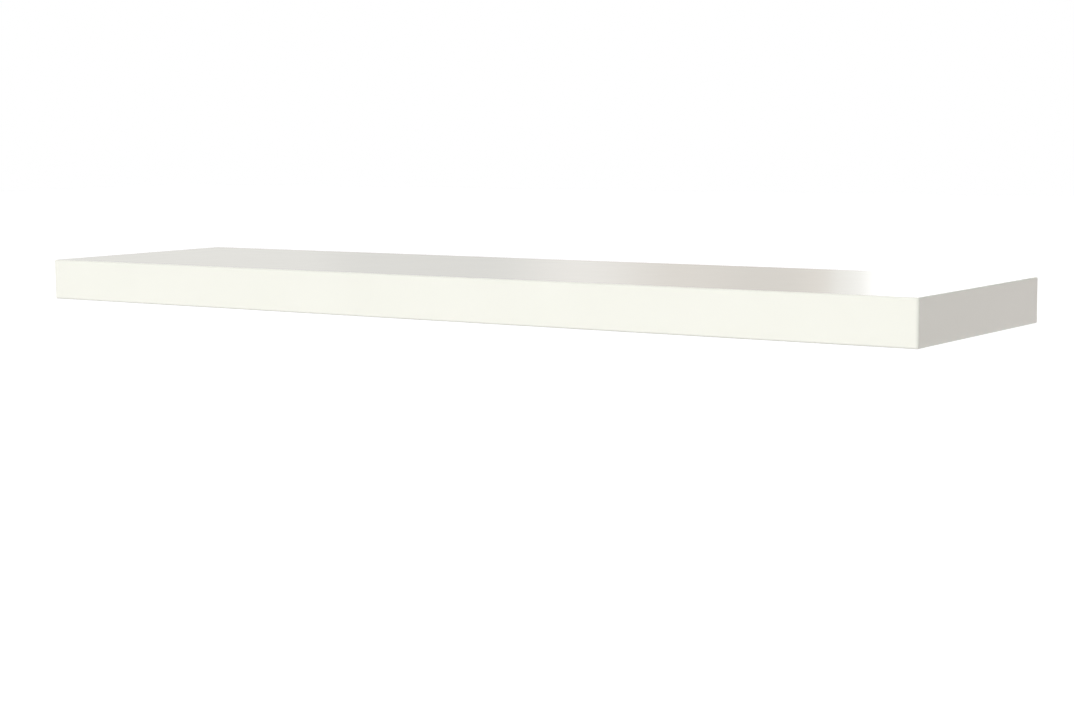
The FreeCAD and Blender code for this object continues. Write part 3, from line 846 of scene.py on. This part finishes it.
def rounded(profile, radius, steps=4):
    """A profile with each inner corner replaced by a short curve that starts and ends radius away."""
    points = [Vector(point) for point in profile]
    shaped = [points[0]]
    for before, corner, after in zip(points, points[1:], points[2:]):
        reach = min(radius, (before - corner).length / 2, (after - corner).length / 2)
        start = corner + (before - corner).normalized() * reach
        end = corner + (after - corner).normalized() * reach
        for step in range(steps + 1):
            share = step / steps
            shaped.append(start.lerp(corner, share).lerp(corner.lerp(end, share), share))
    shaped.append(points[-1])
    return [tuple(point) for point in shaped]


# The board.


def add_board(name, node, materials, body_slot, holes=(), outer=None, bevel=BOARD_BEVEL):
    """A board of its CAD node's size, with round holes and slightly broken edges.

    holes are (axis, centre, radius). outer is a direction: faces that look that way take the first
    material, and the rest the second.
    """
    low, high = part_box(node)
    piece = add_mesh(name, box_bmesh(low, high), materials)
    for axis, centre, radius in holes:
        cutter = prism("cutter", circle(centre, radius), axis, low[axis] - MM, high[axis] + MM)
        combine(piece, cutter, "DIFFERENCE")
    bevel_edges(piece, bevel)
    if outer is not None:
        for face in piece.data.polygons:
            face.material_index = 0 if face.normal.dot(Vector(outer)) > 0.5 else 1
    smooth(piece)
    dress(piece, "shelf", body_slot, node)
    return piece


def add_skins(materials):
    add_board("top_panel", "top_skin", materials, "skin_lacquer", outer=(0, 0, 1), bevel=SEAM_BEVEL)
    holes = []
    for side in SIDES:
        centre = middle(f"lock_screw_{side}")
        holes.append((Z, (centre.x, centre.y), COUNTERBORE / 2))
    add_board(
        "bottom_panel",
        "bottom_skin",
        materials,
        "skin_lacquer",
        holes=holes,
        outer=(0, 0, -1),
        bevel=SEAM_BEVEL,
    )


def add_frame(particle_board):
    for name, node in (
        ("front_frame_rail", "front_rail"),
        ("left_frame_end", "left_end_rail"),
        ("right_frame_end", "right_end_rail"),
    ):
        add_board(name, node, [particle_board], "particle_board")
    bores = [(Y, (x, 0), ROD_BORE / 2) for x in rod_places()]
    add_board("bored_back_rail", "back_rail", [particle_board], "particle_board", holes=bores)


def finish_band(name, band, node):
    """The rounded faces take the second material, the trimmed plastic with painted shade, up to where they
    look nearly along X.
    """
    # Cosines of the angle to the nearest axis and of the angle to X.
    flat = 0.999
    nearly_along = 0.8
    for face in band.data.polygons:
        is_flat = max(abs(part) for part in face.normal) > flat
        face.material_index = 0 if is_flat or abs(face.normal.x) > nearly_along else 1
    band.name = name
    smooth(band)
    dress(band, "shelf", "edge_band", node)


def add_front_band(plastics):
    """The front strip covers the ends of the side strips, and its corners are rounded off last."""
    low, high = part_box("front_edge_band")
    radius = BAND_ROUNDING * (high.y - low.y)
    bm = box_bmesh(low, high)

    def is_at_seam(edge):
        return all(high.y - vert.co.y < SEAM_BEVEL for vert in edge.verts)

    outer = [edge for edge in bm.edges if not is_at_seam(edge)]
    bmesh.ops.bevel(bm, geom=outer, offset=radius, segments=BAND_STEPS, profile=0.5, affect="EDGES")
    seam = [edge for edge in bm.edges if is_at_seam(edge)]
    bmesh.ops.bevel(bm, geom=seam, offset=SEAM_BEVEL, segments=1, profile=0.5, affect="EDGES")
    # Towards the front, each end's rounding is stretched along X, up to CORNER_REACH.
    for vert in bm.verts:
        place = vert.co
        end_x = math.copysign(high.x, place.x)
        from_end = abs(end_x - place.x)
        if from_end < radius + SEAM_BEVEL:
            from_front = min((place.y - low.y) / radius, 1)
            stretch = 1 + (CORNER_REACH / radius - 1) * (1 - from_front)
            place.x = end_x - math.copysign(from_end * stretch, end_x)
    # The bevel leaves the largest faces in no fixed order, so all are sorted by their points.
    bm.verts.index_update()
    ranked = sorted(bm.faces, key=lambda face: sorted(vert.index for vert in face.verts))
    for rank, face in enumerate(ranked):
        face.index = rank
    bm.faces.sort()
    finish_band("front_band", add_mesh("front_band", bm, plastics), "front_edge_band")


def add_side_band(side, plastics):
    """A strip on one end of the board, with its long outer edges rounded."""
    node = f"{side}_edge_band"
    low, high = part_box(node)
    out = math.copysign(1, low.x)
    near, far = sorted((abs(low.x), abs(high.x)))
    radius = BAND_ROUNDING * (far - near)
    quarter = math.pi / 2
    outline = [(near, low.z)]
    outline += circle((far - radius, low.z + radius), radius, BAND_STEPS, -quarter, quarter)
    outline += circle((far - radius, high.z - radius), radius, BAND_STEPS, 0, quarter)
    outline.append((near, high.z))
    band = prism(f"{side}_band", [(out * x, z) for x, z in outline], Y, low.y, high.y)
    bevel_edges(band, SEAM_BEVEL, segments=1, least_angle=60)
    for plastic in plastics:
        band.data.materials.append(plastic)
    finish_band(f"{side}_band", band, node)


# The wall bracket.


def add_wall_rail(zinc):
    """A folded channel with punched holes."""
    low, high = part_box("wall_rail")
    top = high.z
    inner = RAIL_BEND
    outer = RAIL_BEND + RAIL_SHEET
    outer_steps = 10
    inner_steps = 8
    hole_steps = 48
    quarter = math.pi / 2
    bend_centre = (high.y - outer, top - outer)
    upper = circle(bend_centre, outer, outer_steps, 0.0, quarter)
    upper += [(low.y, top), (low.y, top - RAIL_SHEET)]
    upper += circle(bend_centre, inner, inner_steps, quarter, -quarter)
    lower = [(y, -z) for y, z in reversed(upper)]
    rail = prism("channel_rail", upper + lower, X, low.x, high.x)
    rail.data.materials.append(zinc)
    pitch = WALL_HOLE_SPAN / (WALL_HOLE_COUNT - 1)
    radius = WALL_HOLE / 2
    for number in range(WALL_HOLE_COUNT):
        x = number * pitch - WALL_HOLE_SPAN / 2
        is_slot = number in (0, WALL_HOLE_COUNT - 1)
        half_span = (WALL_SLOT - WALL_HOLE) / 2 if is_slot else 0
        outline = circle((x + half_span, 0), radius, hole_steps // 2, -quarter, math.pi)
        outline += circle((x - half_span, 0), radius, hole_steps // 2, quarter, math.pi)
        if not is_slot:
            outline = circle((x, 0), radius, hole_steps)
        cutter = prism("cutter", outline, Y, high.y - 2 * RAIL_SHEET, high.y + MM)
        combine(rail, cutter, "DIFFERENCE")
    bevel_edges(rail, SHEET_BEVEL)
    smooth(rail)
    dress(rail, "wall_bracket", "zinc_steel", "wall_rail")


def along_rod(bm, x, root_y):
    """Lay a lathed mesh along -Y, with its height 0 at the rod's root."""
    bmesh.ops.transform(
        bm,
        matrix=Matrix.Translation((x, root_y, 0)) @ Matrix.Rotation(math.pi / 2, 4, "X"),
        verts=bm.verts,
    )


def weld_bead():
    """A ring of weld around a rod's root, with the ripples of its pool and the crater of its end."""
    around = 144
    across = 9
    ripples = 30
    ripple_lag = 3.2  # in radians, at the bead's two edges
    bulge = 0.30 * MM
    ripple = 0.10 * MM
    crater_at = 2.2  # radians round the rod
    crater_width = 0.16
    crater_depth = 0.25 * MM
    outer = ROD_RADIUS + WELD_LEG
    inner = ROD_RADIUS - 0.2 * MM
    slant = math.sqrt(0.5)
    bm = bmesh.new()
    rings = []
    for step in range(around):
        angle = FULL_TURN * step / around
        apart = (angle - crater_at + math.pi) % FULL_TURN - math.pi
        crater = math.exp(-((apart / crater_width) ** 2))
        section = []
        for row in range(across + 1):
            share = row / across
            arch = math.sin(math.pi * share)
            wave = math.cos(ripples * angle + ripple_lag * (2 * share - 1) ** 2)
            rise = arch * (bulge + ripple * wave * (1 - crater) - crater_depth * crater)
            reach = ROD_RADIUS + WELD_LEG * share + rise * slant
            height = WELD_LEG * (1 - share) + rise * slant
            section.append((reach, height))
        section += [(outer, -ROOT_SINK), (inner, -ROOT_SINK), (inner, WELD_LEG)]
        ring = []
        for reach, height in section:
            ring.append(bm.verts.new((reach * math.cos(angle), reach * math.sin(angle), height)))
        rings.append(ring)
    for number, ring in enumerate(rings):
        following = rings[(number + 1) % around]
        for row in range(len(ring)):
            after = (row + 1) % len(ring)
            bm.faces.new((ring[row], ring[after], following[after], following[row]))
    return bm


def add_rods(zinc, weld_steel):
    for number, x in enumerate(rod_places(), start=1):
        node = f"support_rod_{number}"
        low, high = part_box(node)
        length = high.y - low.y
        side = [
            (ROD_RADIUS, -ROOT_SINK),
            (ROD_RADIUS, length - ROD_CHAMFER),
            (ROD_RADIUS - ROD_CHAMFER, length),
            (0, length),
        ]
        profile = [(0, -ROOT_SINK)] + rounded(side, CHAMFER_ROUNDING, 2)
        bm = lathe(profile, ROUND_STEPS)
        along_rod(bm, x, high.y)
        rod = add_mesh(f"bracket_rod_{number}", bm, [zinc])
        smooth(rod)
        dress(rod, "wall_bracket", "zinc_steel", node)
        bead = weld_bead()
        along_rod(bead, x, high.y)
        weld = add_mesh(f"rod_weld_{number}", bead, [weld_steel])
        smooth(weld, 60)
        dress(weld, "wall_bracket", "zinc_steel", node)


# The lock screws and their washers.


def thread_bmesh(low_z, high_z):
    """A threaded shank about Z. Its rows follow the helix, so the crest stays crisp."""
    around = 48
    rows = 8
    depth = 0.61 * THREAD_PITCH
    flank_slope = 2.5
    crest_flat = 0.1
    bm = bmesh.new()
    turns = math.ceil((high_z - low_z) / THREAD_PITCH) + 1
    lines = []
    for row in range(-rows, rows * turns + 1):
        line = []
        for step in range(around):
            height = low_z + THREAD_PITCH * (row / rows + step / around)
            height = min(max(height, low_z), high_z)
            phase = ((height - low_z) / THREAD_PITCH - step / around) % 1.0
            # 0 on the flat of the crest and 1 on that of the root, with straight flanks between them.
            sunk = min(max(abs(phase - 0.5) * flank_slope - crest_flat, 0.0), 1.0)
            runout = min(1.0, (height - low_z) / THREAD_PITCH)
            radius = THREAD_RADIUS - depth * sunk * runout
            radius = min(radius, THREAD_RADIUS - THREAD_CHAMFER + (high_z - height))
            angle = FULL_TURN * step / around
            line.append(bm.verts.new((radius * math.cos(angle), radius * math.sin(angle), height)))
        lines.append(line)
    for number, (lower, upper) in enumerate(zip(lines, lines[1:])):
        for step in range(around - 1):
            bm.faces.new((lower[step], lower[step + 1], upper[step + 1], upper[step]))
        turn_later = lines[number + rows : number + rows + 2]
        if len(turn_later) == 2:
            bm.faces.new((lower[-1], turn_later[0][0], turn_later[1][0], upper[-1]))
    mend(bm)
    return bm


def add_lock_screw(side, steel):
    node = f"lock_screw_{side}"
    low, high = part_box(node)
    centre = middle(node)
    head_radius = (high.x - low.x) / 2
    inside_shank = THREAD_RADIUS - 0.4 * MM
    shank_sink = 0.3 * MM
    profile = [
        (0, 0),
        (head_radius, 0),
        (head_radius, HEAD_HEIGHT),
        (inside_shank, HEAD_HEIGHT),
    ]
    head = rounded(profile, HEAD_ROUNDING) + [(0, HEAD_HEIGHT)]
    piece = add_mesh(f"socket_screw_{side}", lathe(head, ROUND_STEPS), [steel])
    shank = add_mesh("shank", thread_bmesh(HEAD_HEIGHT - shank_sink, high.z - low.z), [steel])
    combine(piece, shank, "UNION")
    reach = SOCKET_WIDTH / math.sqrt(3)
    socket = prism("socket", circle((0, 0), reach, 6), Z, -MM, SOCKET_DEPTH)
    combine(piece, socket, "DIFFERENCE")
    # One cone is both the lead-in at the socket's mouth and the drill point at its bottom.
    rim = reach + SOCKET_LEAD_IN
    outside = 0.5 * MM
    cone = lathe([(0, -outside), (rim + outside, -outside), (0, rim)], 48)
    combine(piece, add_mesh("mouth", cone, []), "DIFFERENCE")
    piece.data.transform(Matrix.Translation((centre.x, centre.y, low.z)))
    smooth(piece)
    dress(piece, f"{side}_lock_screw", "screw_steel", node)


def add_lock_washer(side, steel):
    """It is a hair thinner than its CAD node, to stay clear of the plane of the screw's head."""
    node = f"lock_washer_{side}"
    low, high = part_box(node)
    centre = middle(node)
    thickness = high.z - low.z - WASHER_GAP
    outer = (high.x - low.x) / 2
    bore = THREAD_RADIUS + WASHER_PLAY
    profile = [
        (bore, thickness / 2),
        (bore, 0),
        (outer, 0),
        (outer, thickness),
        (bore, thickness),
        (bore, thickness / 2),
    ]
    bm = lathe(rounded(profile, WASHER_ROUNDING, 3)[:-1], ROUND_STEPS, closed=True)
    bmesh.ops.translate(bm, vec=(centre.x, centre.y, low.z + WASHER_GAP), verts=bm.verts)
    piece = add_mesh(f"flat_washer_{side}", bm, [steel])
    smooth(piece)
    dress(piece, f"{side}_lock_washer", "screw_steel", node)


# CAD nodes that stay as they are and take a finer finish.


def finish_node(node, material):
    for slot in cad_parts[node].material_slots:
        slot.link = "OBJECT"
        slot.material = material


def finish_kept_nodes():
    spruce = make_softwood()
    for number in range(1, ROD_COUNT + 1):
        finish_node(f"rod_guide_block_{number}", spruce)
    kraft = make_kraft()
    for number in range(1, HONEYCOMB_COUNT + 1):
        finish_node(f"honeycomb_core_{number}", kraft)
    finish_node("frame_staples", make_staple_wire())
    for side in SIDES:
        node = f"threaded_insert_{side}"
        finish_node(node, make_turned_metal(f"brass_{side}", middle(node), *BRASS))


bpy.context.scene.view_settings.view_transform = "Standard"
add_camera()
add_world()
add_floor()
add_sun("key", KEY_FROM, KEY_LEVEL)
add_sun("rear_fill", REAR_FROM, REAR_LEVEL)
add_card("back_card", X, CARD_DISTANCE, CARD_FOOT, CARD_TOP, BACK_STOPS)
add_card("back_card_foot", X, CARD_DISTANCE, CARD_HORIZON, CARD_FOOT, FOOT_STOPS)
add_card("end_card", X, CARD_DISTANCE, CARD_BOTTOM, CARD_HORIZON, END_STOPS)
add_card("side_card", Y, -CARD_DISTANCE, CARD_HORIZON, CARD_TOP, SIDE_STOPS)

add_skins([make_lacquer(), make_fibreboard()])
add_frame(make_particle_board())
plastics = [make_band_plastic(), make_trimmed_plastic_painted_shade()]
add_front_band(plastics)
for side in SIDES:
    add_side_band(side, plastics)
add_wall_rail(make_zinc("zinc_sheet", X, crystal_share=0.4, line_depth=0.012 * MM, through=4.6))
zinc_bar = make_zinc("zinc_bar", Y, crystal_share=0.1, line_depth=0.02 * MM, through=1)
add_rods(zinc_bar, make_weld_steel())
for side in SIDES:
    centre = middle(f"lock_screw_{side}")
    steel = make_turned_metal(f"plated_steel_{side}", centre, *PLATED_STEEL)
    add_lock_screw(side, steel)
    add_lock_washer(side, steel)
finish_kept_nodes()
